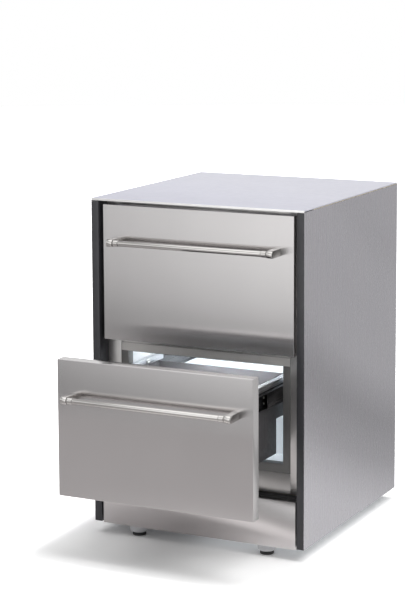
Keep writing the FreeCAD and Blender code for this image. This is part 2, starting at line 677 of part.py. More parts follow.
def refrigerant_lines():
    """The drier with its liquid line, the discharge line and the suction line."""
    clear = size("seat_clearance")
    radius, bend = size("line_radius"), size("line_bend")
    coil_depth = size("condenser_front + condenser_depth / 2")
    coil_low = size("coil_bottom")
    coil_high = size("coil_bottom + (coil_rows - 1) * condenser_pitch")
    roof = size("machine_top")

    drier = size("drier_radius")
    drier_place = size("condenser_left - coil_tube - line_bend - line_gap")
    drier_depth = size("fan_front + fan_depth / 2")
    drier_low = coil_low + bend
    drier_high = drier_low + size("drier_length")
    upright = V(drier_place, drier_depth, 0)
    body = Part.makeCylinder(drier, drier_high - drier_low - 2 * drier,
                             upright + V(0, 0, drier_low + drier))
    for low, start, end in ((drier_low, radius, drier), (drier_high - drier, drier, radius)):
        body = body.fuse(Part.makeCone(start, end, drier, upright + V(0, 0, low)))
    inlet = tube_along([V(size("condenser_left - coil_tube") - clear, coil_depth, coil_low),
                        V(drier_place, coil_depth, coil_low),
                        V(drier_place, drier_depth, coil_low),
                        upright + V(0, 0, drier_low)], radius, radius * 2)
    capillary = Part.makeCylinder(radius, roof - drier_high, upright + V(0, 0, drier_high))
    liquid = body.multiFuse([inlet, capillary]).removeSplitter()

    port = V(size("compressor_place - compressor_radius - port_length") - clear,
             size("compressor_depth"), size("port_height"))
    turn_place = port.x - 2 * bend
    coil_end = size("condenser_left + condenser_width + coil_tube") + clear
    discharge = tube_along([port, V(turn_place, port.y, port.z),
                            V(turn_place, port.y, coil_high),
                            V(turn_place, coil_depth, coil_high),
                            V(coil_end, coil_depth, coil_high)], radius, radius * 2)
    can_top = size("compressor_foot + foot_plate + compressor_height") + clear
    suction = Part.makeCylinder(
        radius, roof - can_top,
        V(size("compressor_place + compressor_radius / 2"), port.y, can_top))
    node(made("lines_shape", Part.makeCompound([liquid, discharge, suction])),
         "refrigerant_lines")


def evaporator():
    node(fuse("evaporator_whole", *finned_coil(
        "evaporator", "0 - evaporator_half", "evaporator_half * 2", "evaporator_front",
        "evaporator_depth", "evaporator_bottom", "evaporator_rows", "evaporator_pitch",
        "upper_liner_back", "evaporator_bottom - coil_tube")), "evaporator_coil")
    plate = box("cover_plate", across("liner_half - seat_clearance"),
                ("cover_front", "duct_fan_front"),
                ("upper_floor + seat_clearance", "upper_ceiling - seat_clearance"))
    window = rod("cover_window", "y", "duct_fan_size / 2 - fan_ring_gap * 2",
                 ("0", "duct_fan_height"), "cover_front - " + CUT, "duct_fan_front + " + CUT)
    slots = []
    for number in range(int(size("cover_slots"))):
        low = "upper_floor + cover_slot_lift + %d * cover_slot_pitch" % number
        slots.append(box("cover_slot", across("cover_slot_width / 2"),
                         ("cover_front - " + CUT, "duct_fan_front + " + CUT),
                         (low, low + " + cover_slot_height")))
    bars = [box("cover_bar", ("%d * cover_slot_pitch - cover_sheet / 2" % number,
                              "%d * cover_slot_pitch + cover_sheet / 2" % number),
                ("cover_front", "duct_fan_front"),
                ("duct_fan_height - duct_fan_size / 2", "duct_fan_height + duct_fan_size / 2"))
            for number in range(-3, 4)]
    node(fuse("cover_whole", cut("cover_opened", plate, window, *slots), *bars),
         "evaporator_cover")
    place = ("0", "duct_fan_front", "duct_fan_height", "duct_fan_size",
             "duct_fan_depth")
    node(fan_frame("duct_fan", *place), "evaporator_fan_frame")
    node(fan_blades("duct_blades", *place), "evaporator_fan_blade")


def electrical():
    housing = box("control_block", ("control_right - control_width", "control_right"),
                  ("control_front", "control_front + control_depth"),
                  ("base_top", "base_top + control_height"))
    node(rounded("control_soft", housing, "control_round",
                 lambda edge: abs(edge.tangentAt(edge.FirstParameter).z) > 0.9),
         "control_box")
    for level, ceiling in (("upper", "upper_ceiling"), ("lower", "lower_ceiling")):
        bar = box(level + "_light_bar", across("light_length / 2"),
                  ("light_front", "light_front + light_depth"),
                  (ceiling + " - light_height", ceiling))
        middle = size(ceiling + " - light_height / 2")
        node(rounded(level + "_light_soft", bar, "light_height / 3",
                     lambda edge: abs(edge.tangentAt(edge.FirstParameter).x) > 0.9
                     and edge.CenterOfMass.z < middle), level + "_light")

    middle = ("inlet_place - inlet_width / 2", "inlet_place + inlet_width / 2")
    tall = ("inlet_lift - inlet_height / 2", "inlet_lift + inlet_height / 2")
    clear = "seat_clearance"

    def grown(span, margin):
        return "%s - %s" % (span[0], margin), "%s + %s" % (span[1], margin)
    body = box("inlet_body", grown(middle, "(0 - %s)" % clear),
               ("cabinet_depth - inlet_depth", "cabinet_depth"),
               grown(tall, "(0 - %s)" % clear))
    flange = box("inlet_flange_plate", grown(middle, "inlet_flange"),
                 ("back_inner - cover_sheet", "back_inner"), grown(tall, "inlet_flange"))
    pocket = box("inlet_pocket", grown(middle, "(0 - inlet_flange)"),
                 ("cabinet_depth - inlet_depth + inlet_flange", "cabinet_depth + " + CUT),
                 grown(tall, "(0 - inlet_flange)"))
    pins = [box("inlet_pin", ("inlet_place + %d * pin_pitch - pin_width / 2" % along,
                              "inlet_place + %d * pin_pitch + pin_width / 2" % along),
                ("cabinet_depth - inlet_depth + inlet_flange / 2",
                 "cabinet_depth - inlet_flange"),
                ("inlet_lift - pin_height / 2", "inlet_lift + pin_height / 2"))
            for along in (-1, 0, 1)]
    node(fuse("inlet_whole", cut("inlet_hollowed", fuse("inlet_flanged", body, flange),
                                 pocket), *pins), "power_inlet")


def drawer(level, low, high, open_low, open_high, shelf, pulled):
    """One drawer: its foamed front, seal, handle and bin, moved forward by pulled.

    It gives back the height of the bin's sides, where the slides hang.
    """
    def back(first, last):
        return "%s - %s" % (first, pulled), "%s - %s" % (last, pulled)

    def ring(name, reach, depth):
        """A rectangular ring on the opening's border, reach wide each way."""
        spans = []
        for out in (1, -1):
            edge = "gasket_half + %d * %s" % (out, reach)
            rise = "(%s - %s / 2 - %d * %s)" % (open_low, "border_rail", out, reach)
            top = "(%s + %s / 2 + %d * %s)" % (open_high, "border_rail", out, reach)
            spans.append((across(edge), (rise, top)))
        outer = box(name + "_out", spans[0][0], depth, spans[0][1])
        margin = (depth[0] + " - " + CUT, depth[1] + " + " + CUT)
        return cut(name, outer, box(name + "_in", spans[1][0], margin, spans[1][1]))

    tall = (low, high)
    outside = rounded(
        level + "_skin_soft",
        box(level + "_skin_outside", across("front_half"),
            back("front_recess", "front_back"), tall),
        "front_sheet", lambda edge: edge.CenterOfMass.y < size(
            "front_recess + front_sheet / 2 - " + pulled))
    inner_tall = (low + " + front_sheet", high + " - front_sheet")
    inside = box(level + "_skin_inside", across("front_half - front_sheet"),
                 back("front_recess + front_sheet", "front_back + " + CUT), inner_tall)
    node(cut(level + "_skin_fold", outside, inside), level + "_drawer_front")
    node(box(level + "_front_foam", across("front_half - front_sheet"),
             back("front_recess + front_sheet", "front_back - inner_panel"), inner_tall),
         level + "_drawer_foam")
    node(fuse(level + "_panel_whole",
              box(level + "_panel_plate", across("front_half - front_sheet"),
                  back("front_back - inner_panel", "front_back"), inner_tall),
              box(level + "_plateau", across("plateau_half"),
                  back("front_back", "plateau_back"),
                  (open_low + " + plateau_margin", open_high + " - plateau_margin"))),
         level + "_inner_panel")
    node(fuse(level + "_seal_whole",
              ring(level + "_seal_foot", "gasket_width / 2",
                   back("front_back", "front_back + inner_panel")),
              ring(level + "_seal_magnet", "gasket_magnet",
                   back("front_back", "gasket_back"))), level + "_gasket")

    axis = ("front_recess - handle_stand_off - " + pulled, high + " - handle_drop")
    turned = (("groove", "groove_diameter", "bar_half - groove_length", "bar_half"),
              ("collar", "collar_diameter", "bar_half - groove_length - collar_length",
               "bar_half - groove_length"))
    stretches = [rod(level + "_bar", "x", "bar_diameter / 2", axis,
                     *across("bar_half - groove_length"))]
    for _, sign in SIDES:
        for name, diameter, inner, outer in turned:
            stretches.append(rod("%s_%s" % (level, name), "x", diameter + " / 2", axis,
                                 *mirrored(sign, inner, outer)))
    node(fuse(level + "_bar_whole", *stretches), level + "_handle_bar")
    posts = []
    for side, sign in SIDES:
        width = mirrored(sign, "bar_half", "handle_half")
        posts.append(fuse(
            "%s_post_%s" % (level, side),
            rod("post_nose", "x", "post_height / 2", axis, *width),
            box("post_arm", width, (axis[0], "front_recess - " + pulled),
                (axis[1] + " - post_height / 2", axis[1] + " + post_height / 2"))))
    node(group(level + "_post_pair", *posts), level + "_handle_posts")

    floor = "(%s + bin_lift)" % open_low
    rail_top = "(%s - rail_drop)" % open_high
    side_top = "(%s - rail_height)" % rail_top
    step, wall = "bin_step - " + pulled, "bin_wall"
    front, end = back("bin_front", "bin_back")
    outline = [(front, floor), (step, floor), (step, shelf), (end, shelf),
               (end, side_top), (front, side_top)]
    hollow = [("%s + %s" % (front, wall), "%s + %s" % (floor, wall)),
              ("%s - %s" % (step, wall), "%s + %s" % (floor, wall)),
              ("%s - %s" % (step, wall), "%s + %s" % (shelf, wall)),
              ("%s - %s" % (end, wall), "%s + %s" % (shelf, wall)),
              ("%s - %s" % (end, wall), side_top + " + " + CUT),
              ("%s + %s" % (front, wall), side_top + " + " + CUT)]
    if shelf == floor:
        outline = outline[:1] + outline[3:]
        hollow = hollow[:1] + hollow[3:]
    tub = cut(level + "_bin_hollowed",
              profile(level + "_bin_outside", "YZ", outline, *across("bin_half")),
              profile(level + "_bin_inside", "YZ", hollow, *across("bin_half - bin_wall")),
              box(level + "_bin_back_notch", across("bin_half - bin_wall"),
                  ("%s - %s - %s" % (end, wall, CUT), "%s + %s" % (end, CUT)),
                  ("%s - bin_back_drop" % rail_top, side_top + " + " + CUT)))
    beads = [box(level + "_bin_bead", mirrored(sign, "bin_half", "bin_half + seam_proud"),
                 back("seam_place - seam_width / 2", "seam_place + seam_width / 2"),
                 (floor + " + bin_lift", floor + " + bin_lift * 3.5"))
             for _, sign in SIDES]
    node(fuse(level + "_bin_whole", tub, *beads), level + "_bin")

    rails = []
    for side, sign in SIDES:
        edge = mirrored(sign, "rail_outer - rail_width", "rail_outer")
        groove = mirrored(sign, "rail_outer - rail_width / 2 - rail_groove / 2",
                          "rail_outer - rail_width / 2 + rail_groove / 2")
        rails.append(cut(
            "%s_rail_%s" % (level, side),
            box("rail_bar", edge, back("bin_front", "bin_back"), (side_top, rail_top)),
            box("rail_slot", groove, back("bin_front - " + CUT, "bin_back + " + CUT),
                (rail_top + " - rail_groove", rail_top + " + " + CUT))))
    node(group(level + "_rail_pair", *rails), level + "_bin_rails")
    return side_top


def slides(level, side_top, pulled):
    """Telescopic slides: members on the liner, between, and on the drawer."""
    middle = "(%s - slide_height / 2)" % side_top
    nested = "(slide_gauge + slide_gap)"
    middle_out = "(opening_half - slide_gap)"
    stages = (
        ("cabinet", "0", "liner_half - slide_gauge", "liner_half",
         "liner_half - slide_gauge - slide_reach", "liner_half - slide_gauge", 0),
        ("middle", pulled + " / 2", middle_out + " - slide_gauge", middle_out,
         "bin_half + slide_gauge + slide_gap * 2", middle_out + " - slide_gauge", 1),
        ("drawer", pulled, "bin_half", "bin_half + slide_gauge", "bin_half + slide_gauge",
         middle_out + " - slide_gauge - slide_gap * 2", 2))
    for stage, moved, web_in, web_out, flange_in, flange_out, depth in stages:
        along = ("slide_front - " + moved, "slide_back - " + moved)
        half = "(slide_height / 2 - %d * %s)" % (depth, nested)
        pair = []
        for side, sign in SIDES:
            pair.append(fuse(
                "%s_%s_member_%s" % (level, stage, side),
                box("member_web", mirrored(sign, web_in, web_out), along,
                    ("%s - %s" % (middle, half), "%s + %s" % (middle, half))),
                box("member_low", mirrored(sign, flange_in, flange_out), along,
                    ("%s - %s" % (middle, half), "%s - %s + slide_gauge" % (middle, half))),
                box("member_high", mirrored(sign, flange_in, flange_out), along,
                    ("%s + %s - slide_gauge" % (middle, half), "%s + %s" % (middle, half)))))
        node(group("%s_%s_member_pair" % (level, stage), *pair),
             "%s_slide_%s_members" % (level, stage))


def write_parts():
    """Check every object of the document, then write one file for each node."""
    document.recompute()
    for item in document.Objects:
        if "Invalid" in item.State or "Error" in item.State:
            raise RuntimeError("%s failed: %s" % (item.Name, item.State))
    os.makedirs("parts", exist_ok=True)
    for item in nodes:
        if item.Shape.isNull() or not item.Shape.isValid():
            raise RuntimeError("%s has no valid shape" % item.Label)
        item.Shape.exportStep("parts/%s.step" % item.Label)
        limits = item.Shape.BoundBox
        print("%-30s %2d solids %10.0f mm3  x %7.1f %7.1f  y %7.1f %7.1f  z %6.1f %6.1f" % (
            item.Label, len(item.Shape.Solids), item.Shape.Volume, limits.XMin, limits.XMax,
            limits.YMin, limits.YMax, limits.ZMin, limits.ZMax))


cabinet_shell()
base()
levelling_legs()
face_frame()
liners()
compressor()
condenser_and_fan()
refrigerant_lines()
evaporator()
electrical()
upper_floor_line = "(opening_bottom_upper + bin_lift)"
for drawer_level, bottom, top, mouth_low, mouth_high, ledge, out in (
        ("upper", "upper_front_bottom", "upper_front_top", "opening_bottom_upper",
         "open_top_upper", upper_floor_line, "0"),
        ("lower", "lower_front_bottom", "lower_front_top", "opening_bottom_lower",
         "open_top_lower", "step_top + bin_step_rise", "lower_open")):
    slides(drawer_level,
           drawer(drawer_level, bottom, top, mouth_low, mouth_high, ledge, out), out)
write_parts()
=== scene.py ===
"""Undercounter drawer refrigerator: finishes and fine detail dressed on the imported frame.

Blender works in metres. Mesh code here is drawn in millimetres and scaled once, in
piece(). The fridge stands on z = 0, its front edge is the plane y = 0 and x = 0 is its
middle; the upper drawer is closed and the lower one stands 242 mm open.
"""

import json
import math

import bmesh
import bpy
from mathutils import Matrix, Vector


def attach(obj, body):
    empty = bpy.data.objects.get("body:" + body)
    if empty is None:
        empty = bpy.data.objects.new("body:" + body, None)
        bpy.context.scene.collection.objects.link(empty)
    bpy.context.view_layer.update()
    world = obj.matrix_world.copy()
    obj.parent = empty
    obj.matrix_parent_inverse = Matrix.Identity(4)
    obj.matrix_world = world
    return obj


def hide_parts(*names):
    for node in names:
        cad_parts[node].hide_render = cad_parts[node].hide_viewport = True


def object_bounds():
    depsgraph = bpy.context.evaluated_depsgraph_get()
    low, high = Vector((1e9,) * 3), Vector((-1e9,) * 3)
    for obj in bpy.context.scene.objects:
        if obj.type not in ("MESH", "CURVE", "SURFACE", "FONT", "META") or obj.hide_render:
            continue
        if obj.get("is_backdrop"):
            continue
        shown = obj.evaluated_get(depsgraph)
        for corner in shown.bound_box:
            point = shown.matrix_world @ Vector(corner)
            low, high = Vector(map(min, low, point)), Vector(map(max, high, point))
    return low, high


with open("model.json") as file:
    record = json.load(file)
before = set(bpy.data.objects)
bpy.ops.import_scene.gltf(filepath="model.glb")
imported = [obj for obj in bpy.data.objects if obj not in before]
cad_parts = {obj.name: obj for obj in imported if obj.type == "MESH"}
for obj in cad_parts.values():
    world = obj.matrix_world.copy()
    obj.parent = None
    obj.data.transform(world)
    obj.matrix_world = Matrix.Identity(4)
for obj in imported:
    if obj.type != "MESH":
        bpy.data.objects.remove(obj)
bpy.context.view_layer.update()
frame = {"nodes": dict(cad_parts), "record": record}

MM = 0.001
OPEN = 242                      # how far the lower drawer stands out
TURN = 2 * math.pi
BODY_OF = {node: body for body, nodes in frame["record"]["behaviour"]["bodies"].items()
           for node in nodes}
SLOT_OF = {part["node"]: part["material_slot"] for part in frame["record"]["subparts"]}

# ------------------------------------------------------------------ finishes


class Surface:
    """A Principled material whose colour, roughness and height come from nodes."""

    def __init__(self, name, color, roughness, metallic=0.0):
        self.material = bpy.data.materials.new(name)
        self.material.use_nodes = True
        self.tree = self.material.node_tree
        self.shader = self.tree.nodes["Principled BSDF"]
        self.set(Metallic=metallic, Roughness=roughness)
        self.color, self.roughness, self.height = color, roughness, None
        self.place = self.node("ShaderNodeTexCoord").outputs["Object"]

    def set(self, **sockets):
        for name, value in sockets.items():
            self.shader.inputs[name.replace("_", " ")].default_value = value
        return self

    def node(self, kind, **sockets):
        made = self.tree.nodes.new(kind)
        for name, value in sockets.items():
            made.inputs[name.replace("_", " ")].default_value = value
        return made

    def link(self, out, into):
        self.tree.links.new(out, into)
        return self

    def noise(self, scale, detail=3.0, rough=0.55):
        """Noise with its own number of waves per metre along each axis."""
        mapping = self.node("ShaderNodeMapping", Scale=scale)
        self.link(self.place, mapping.inputs["Vector"])
        made = self.node("ShaderNodeTexNoise", Scale=1.0, Detail=detail, Roughness=rough)
        self.link(mapping.outputs["Vector"], made.inputs["Vector"])
        return made.outputs["Fac"]

    def ranged(self, fac, low, high, start=0.3, end=0.7):
        made = self.node("ShaderNodeMapRange", From_Min=start, From_Max=end,
                         To_Min=low, To_Max=high)
        self.link(fac, made.inputs["Value"])
        return made.outputs["Result"]

    def tint(self, fac, low, high, start=0.3, end=0.7):
        """Colour from low to high times the base colour, as fac goes from start to end."""
        ramp = self.node("ShaderNodeValToRGB")
        for stop, place, share in zip(ramp.color_ramp.elements, (start, end), (low, high)):
            stop.position = place
            scaled = share if isinstance(share, tuple) else (share,) * 3
            stop.color = [min(1.0, c * s) for c, s in zip(self.color, scaled)] + [1.0]
        self.link(fac, ramp.inputs["Fac"])
        return ramp.outputs["Color"]

    def paint(self, out):
        return self.link(out, self.shader.inputs["Base Color"])

    def mixed(self, fac, first, second):
        """Two colours mixed by a number or by a node's output."""
        made = self.tree.nodes.new("ShaderNodeMix")
        made.data_type = "RGBA"
        colors = [socket for socket in made.inputs if socket.type == "RGBA"]
        self.link(first, colors[0]).link(second, colors[1])
        if isinstance(fac, float):
            made.inputs[0].default_value = fac
        else:
            self.link(fac, made.inputs[0])
        return [socket for socket in made.outputs if socket.type == "RGBA"][0]

    def rough(self, fac, low, high):
        return self.link(self.ranged(fac, low, high), self.shader.inputs["Roughness"])

    def bump(self, fac, strength, distance=0.0004):
        made = self.node("ShaderNodeBump", Strength=strength, Distance=distance)
        self.link(fac, made.inputs["Height"])
        if self.height:
            self.link(self.height, made.inputs["Normal"])
        self.height = made.outputs["Normal"]
        return self.link(self.height, self.shader.inputs["Normal"])

    def grain(self, axis, amount):
        """Stretch the gloss across the brushing, which runs square to the tangent."""
        tangent = self.node("ShaderNodeTangent")
        tangent.direction_type, tangent.axis = "RADIAL", axis
        self.link(tangent.outputs["Tangent"], self.shader.inputs["Tangent"])
        return self.set(Anisotropic=amount)


def brushed(name, color, roughness, lengthwise="z", turn="Z", amount=0.85, spread=0.05):
    """Sheet steel brushed along one axis: fine hairs, wider bands and a slow mottle."""
    made = Surface(name, color, roughness, 1.0)
    long = {"x": (5, 1, 1), "y": (1, 5, 1), "z": (1, 1, 5)}[lengthwise]

    def stretched(count):
        return [count if share == 1 else share for share in long]
    hairs = made.noise(stretched(1100), 2.0)
    bands = made.noise(stretched(120), 3.0)
    mottle = made.noise((7, 7, 5), 2.0)
    fine = made.tint(hairs, 1 - spread, 1 + spread)
    wide = made.tint(bands, 1 - spread * 0.5, 1 + spread * 0.4)
    slow = made.tint(mottle, 1 - spread * 0.6, 1 + spread * 0.4)
    made.paint(made.mixed(0.4, made.mixed(0.5, fine, wide), slow))
    made.rough(bands, roughness - 0.01, roughness + 0.015)
    return made.grain(turn, amount).material


def painted(name, color, roughness, metallic=0.0, peel=0.03, spread=0.03, count=500):
    """Smooth coating with a faint orange peel and slow changes of tone."""
    made = Surface(name, color, roughness, metallic)
    tone = made.noise((14, 14, 14), 4.0)
    made.paint(made.tint(tone, 1 - spread, 1 + spread))
    made.rough(made.noise((60, 60, 60), 3.0), roughness - 0.04, roughness + 0.05)
    return made.bump(made.noise((count,) * 3, 2.0), peel)


def topped():
    """The top sheet, dull and faintly blue, with a painted highlight along its front hem: faces
    that look forward are painted brighter.
    """
    made = painted("steel_top", (0.64, 0.64, 0.725), 0.36, 0.6, 0.015, 0.02)
    facing = made.node("ShaderNodeSeparateXYZ")
    made.link(made.node("ShaderNodeTexCoord").outputs["Normal"], facing.inputs["Vector"])
    hem = made.ranged(facing.outputs["Y"], 1.0, 0.0, -0.9, -0.25)
    sheet = made.tint(made.noise((14, 14, 14), 4.0), 0.98, 1.02)
    # Painted highlight: the hem's forward faces are painted about half again as bright, for the
    # light the rounded lip catches.
    hem_highlight = made.tint(made.noise((14, 14, 14), 4.0), (1.53, 1.52, 1.33), (1.55, 1.54, 1.35))
    made.paint(made.mixed(hem, sheet, hem_highlight))
    return made.material


def moulded(name, color, roughness, spread=0.05, pebble=0.12, count=1500):
    """Plastic or rubber with a fine moulded grain and slight scuffing."""
    made = Surface(name, color, roughness)
    tone = made.noise((25, 25, 25), 4.0)
    made.paint(made.tint(tone, 1 - spread, 1 + spread))
    made.rough(made.noise((90, 90, 90), 3.0), roughness - 0.05, roughness + 0.07)
    return made.bump(made.noise((count,) * 3, 1.0), pebble, 0.0002)


def spangled():
    """Galvanised sheet: crystal cells, each its own tone, with a dull bloom."""
    made = Surface("galvanised", (0.55, 0.57, 0.59), 0.42, 0.85)
    cells = made.node("ShaderNodeTexVoronoi", Scale=70.0)
    made.link(made.place, cells.inputs["Vector"])
    tones = made.node("ShaderNodeSeparateColor")
    made.link(cells.outputs["Color"], tones.inputs["Color"])
    crystal = made.tint(tones.outputs["Red"], 0.8, 1.12, 0.0, 1.0)
    bloom = made.tint(made.noise((18, 18, 18), 4.0), 0.86, 1.05)
    made.paint(made.mixed(0.45, crystal, bloom))
    made.link(made.ranged(tones.outputs["Red"], 0.32, 0.52, 0.0, 1.0),
              made.shader.inputs["Roughness"])
    return made.bump(cells.outputs["Distance"], 0.05).material


def foamed():
    """Sprayed rigid foam: tan, with closed cells and a slow mottle."""
    made = Surface("insulation_foam", (0.80, 0.70, 0.47), 0.85)
    cells = made.node("ShaderNodeTexVoronoi", Scale=420.0)
    made.link(made.place, cells.inputs["Vector"])
    made.paint(made.mixed(0.5, made.tint(made.noise((9, 9, 9), 5.0), 0.85, 1.08),
                          made.tint(cells.outputs["Distance"], 1.05, 0.85, 0.1, 0.8)))
    return made.bump(cells.outputs["Distance"], 0.5, 0.0006).material


def lamp_lens():
    """Opal lens over the light, which glows most to the rear and dims towards its ends."""
    made = Surface("light_lens", (0.95, 0.96, 1.0), 0.25)
    made.paint(made.tint(made.noise((40, 40, 40), 2.0), 0.96, 1.0))
    split = made.node("ShaderNodeSeparateXYZ")
    made.link(made.place, split.inputs["Vector"])
    bowed = made.node("ShaderNodeMath")
    bowed.operation = "ABSOLUTE"
    made.link(split.outputs["X"], bowed.inputs[0])
    ends = made.ranged(bowed.outputs[0], 1.0, 0.8, 0.06, 0.13)
    facing = made.node("ShaderNodeSeparateXYZ")
    made.link(made.node("ShaderNodeTexCoord").outputs["Normal"], facing.inputs["Vector"])
    rearward = made.ranged(facing.outputs["Y"], 50.0, 120.0, 0.2, 0.8)
    spread = made.node("ShaderNodeMath")
    spread.operation = "MULTIPLY"
    made.link(ends, spread.inputs[0])
    made.link(rearward, spread.inputs[1])
    made.link(spread.outputs[0], made.shader.inputs["Emission Strength"])
    made.set(Emission_Color=(0.93, 0.97, 1.0, 1.0))
    return made.bump(made.noise((900, 30, 30), 1.0), 0.1).material


def drawn(name, color, roughness, count=900):
    """Extruded or drawn metal with fine die lines along Y."""
    made = Surface(name, color, roughness, 1.0)
    lines = made.noise((count, 4, count), 2.0)
    made.paint(made.mixed(0.5, made.tint(lines, 0.86, 1.08),
                          made.tint(made.noise((12, 12, 12), 3.0), 0.93, 1.04)))
    made.rough(lines, roughness - 0.06, roughness + 0.08)
    return made.bump(lines, 0.12, 0.0002).material


FINISH = {
    "brushed_steel_front": brushed("brushed_steel_front", (0.68, 0.662, 0.662), 0.20,
                                   amount=1.0, spread=0.05),
    "brushed_steel_side": brushed("brushed_steel_side", (0.61, 0.597, 0.632), 0.27,
                                  amount=1.0, spread=0.025),
    "steel_top": topped(),
    "handle_steel": brushed("handle_steel", (0.58, 0.565, 0.55), 0.15, "x", "X", 0.3, 0.03),
    "black_trim": painted("black_trim", (0.042, 0.042, 0.048), 0.40, 0.0, 0.05, 0.12).material,
    "frame_steel": painted("frame_steel", (0.68, 0.665, 0.655), 0.34, 0.8, 0.01, 0.03).material,
    "galvanised": spangled(),
    # The liner glows faintly: painted light for the interior lamp's light thrown round the
    # compartment; the liner is no lamp.
    "liner_white": painted("liner_white", (0.86, 0.87, 0.88), 0.28, 0.0, 0.02, 0.015).set(
        Emission_Color=(0.84, 0.93, 1.0, 1.0), Emission_Strength=0.24).material,
    "insulation_foam": foamed(),
    "border_grey": moulded("border_grey", (0.185, 0.181, 0.178), 0.40, 0.05, 0.04).material,
    "seal_rubber": moulded("seal_rubber", (0.30, 0.30, 0.31), 0.55).material,
    "bin_grey": moulded("bin_grey", (0.055, 0.053, 0.056), 0.48, 0.06, 0.06).material,
    "rail_aluminium": drawn("rail_aluminium", (0.74, 0.75, 0.77), 0.30),
    "slide_steel": drawn("slide_steel", (0.13, 0.13, 0.135), 0.30, 500),
    "leg_grey": moulded("leg_grey", (0.62, 0.62, 0.64), 0.42).material,
    "compressor_black": painted("compressor_black", (0.020, 0.020, 0.022), 0.35, 0.0,
                                0.12, 0.15, 300).material,
    "grommet_rubber": moulded("grommet_rubber", (0.028, 0.028, 0.028), 0.7).material,
    "black_plastic": moulded("black_plastic", (0.030, 0.030, 0.032), 0.45).material,
    "coil_black": painted("coil_black", (0.026, 0.026, 0.028), 0.5, 0.0, 0.1, 0.2).material,
    "copper_line": drawn("copper_line", (0.80, 0.42, 0.26), 0.30, 300),
    "bare_aluminium": drawn("bare_aluminium", (0.78, 0.79, 0.80), 0.38, 700),
    "control_grey": moulded("control_grey", (0.36, 0.37, 0.39), 0.5).material,
    "light_lens": lamp_lens(),
}
WHITE_CLIP = moulded("clip_white", (0.80, 0.80, 0.78), 0.4, 0.03).material
HEAD_STEEL = painted("head_steel", (0.70, 0.68, 0.66), 0.42, 0.35, 0.01, 0.03).material
ZINC = drawn("zinc_plate", (0.66, 0.66, 0.64), 0.30, 600)

for name, obj in frame["nodes"].items():
    obj.data.materials.clear()
    obj.data.materials.append(FINISH[SLOT_OF[name]])

# ------------------------------------------------------------------ mesh code


def finish_mesh(name, mesh, slot, body, stands_for=(), bevel=0.0, segments=3,
                material=None, angle=32):
    """Make a mesh in metres a piece that rides on a body, with its edges rounded."""
    mesh.materials.clear()
    mesh.materials.append(material or FINISH[slot])
    mesh.shade_smooth()
    obj = bpy.data.objects.new(name, mesh)
    bpy.context.scene.collection.objects.link(obj)
    if bevel:
        edge = obj.modifiers.new("edges", "BEVEL")
        edge.limit_method, edge.angle_limit = "ANGLE", math.radians(angle)
        edge.width, edge.segments = bevel * MM, segments
        edge.use_clamp_overlap, edge.harden_normals = True, True
    else:
        mesh.set_sharp_from_angle(angle=math.radians(angle))
    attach(obj, body)
    if stands_for:
        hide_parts(*stands_for)
    return obj


def piece(name, shape, slot, body, stands_for=(), bevel=0.0, segments=3, material=None,
          angle=32):
    """Turn mesh code drawn in millimetres into a piece of the fridge."""
    bmesh.ops.recalc_face_normals(shape, faces=shape.faces)
    bmesh.ops.scale(shape, vec=(MM,) * 3, verts=shape.verts)
    mesh = bpy.data.meshes.new(name)
    shape.to_mesh(mesh)
    shape.free()
    return finish_mesh(name, mesh, slot, body, stands_for, bevel, segments, material, angle)


def softened(node, bevel, segments=2, angle=32):
    """The node's own shape with its sharp edges rounded, as folded sheet has them."""
    mesh = frame["nodes"][node].data.copy()
    shape = bmesh.new()
    shape.from_mesh(mesh)
    bmesh.ops.remove_doubles(shape, verts=shape.verts, dist=1e-5)
    bmesh.ops.dissolve_limit(shape, angle_limit=math.radians(0.5), verts=shape.verts,
                             edges=shape.edges)
    shape.to_mesh(mesh)
    shape.free()
    return finish_mesh(node + "_finished", mesh, SLOT_OF[node], BODY_OF[node], (node,),
                       bevel, segments, None, angle)


def block(shape, low, high):
    """A block between two corners, open to further shaping by its bevel."""
    corners = [shape.verts.new((x, y, z)) for x in (low[0], high[0])
               for y in (low[1], high[1]) for z in (low[2], high[2])]
    for face in ((0, 1, 3, 2), (4, 6, 7, 5), (0, 4, 5, 1), (2, 3, 7, 6), (0, 2, 6, 4),
                 (1, 5, 7, 3)):
        shape.faces.new([corners[i] for i in face])


def turned(shape, centre, axis, profile, steps=48):
    """A lathed form: pairs of distance along the axis and radius, closed at both ends."""
    along = {"x": Vector((1, 0, 0)), "y": Vector((0, 1, 0)), "z": Vector((0, 0, 1))}[axis]
    side = Vector((0, 1, 0)) if axis != "y" else Vector((0, 0, 1))
    other = along.cross(side)
    rings = []
    for distance, radius in profile:
        middle = Vector(centre) + along * distance
        rings.append([shape.verts.new(
            middle + (side * math.cos(TURN * k / steps) + other * math.sin(TURN * k / steps))
            * radius) for k in range(steps)])
    for first, second in zip(rings, rings[1:]):
        for k in range(steps):
            shape.faces.new((first[k], first[k - 1], second[k - 1], second[k]))
    shape.faces.new(rings[0])
    shape.faces.new(rings[-1])


def corner_loop(half, low, high, radius, steps=7):
    """Points of a rounded rectangle in X and Z, anticlockwise from the lower right."""
    points = []
    right, left = half - radius, radius - half
    for cx, cz, start in ((right, low + radius, -90), (right, high - radius, 0),
                          (left, high - radius, 90), (left, low + radius, 180)):
        for k in range(steps + 1):
            turn = math.radians(start + 90 * k / steps)
            points.append((cx + radius * math.cos(turn), cz + radius * math.sin(turn)))
    return points


def framed(shape, half, low, high, radius, section, closed=True):
    """Sweep a section of (outset, y) pairs round a rounded rectangle."""
    loops = []
    for outset, depth in section:
        loops.append([shape.verts.new((x, depth, z)) for x, z in corner_loop(
            half + outset, low - outset, high + outset, max(0.3, radius + outset))])
    pairs = list(zip(loops, loops[1:]))
    if closed:
        pairs.append((loops[-1], loops[0]))
    for first, second in pairs:
        for k in range(len(first)):
            shape.faces.new((first[k], first[k - 1], second[k - 1], second[k]))
    if not closed:
        shape.faces.new(loops[0])
        shape.faces.new(loops[-1])


# ------------------------------------------------------------------ sheet metal

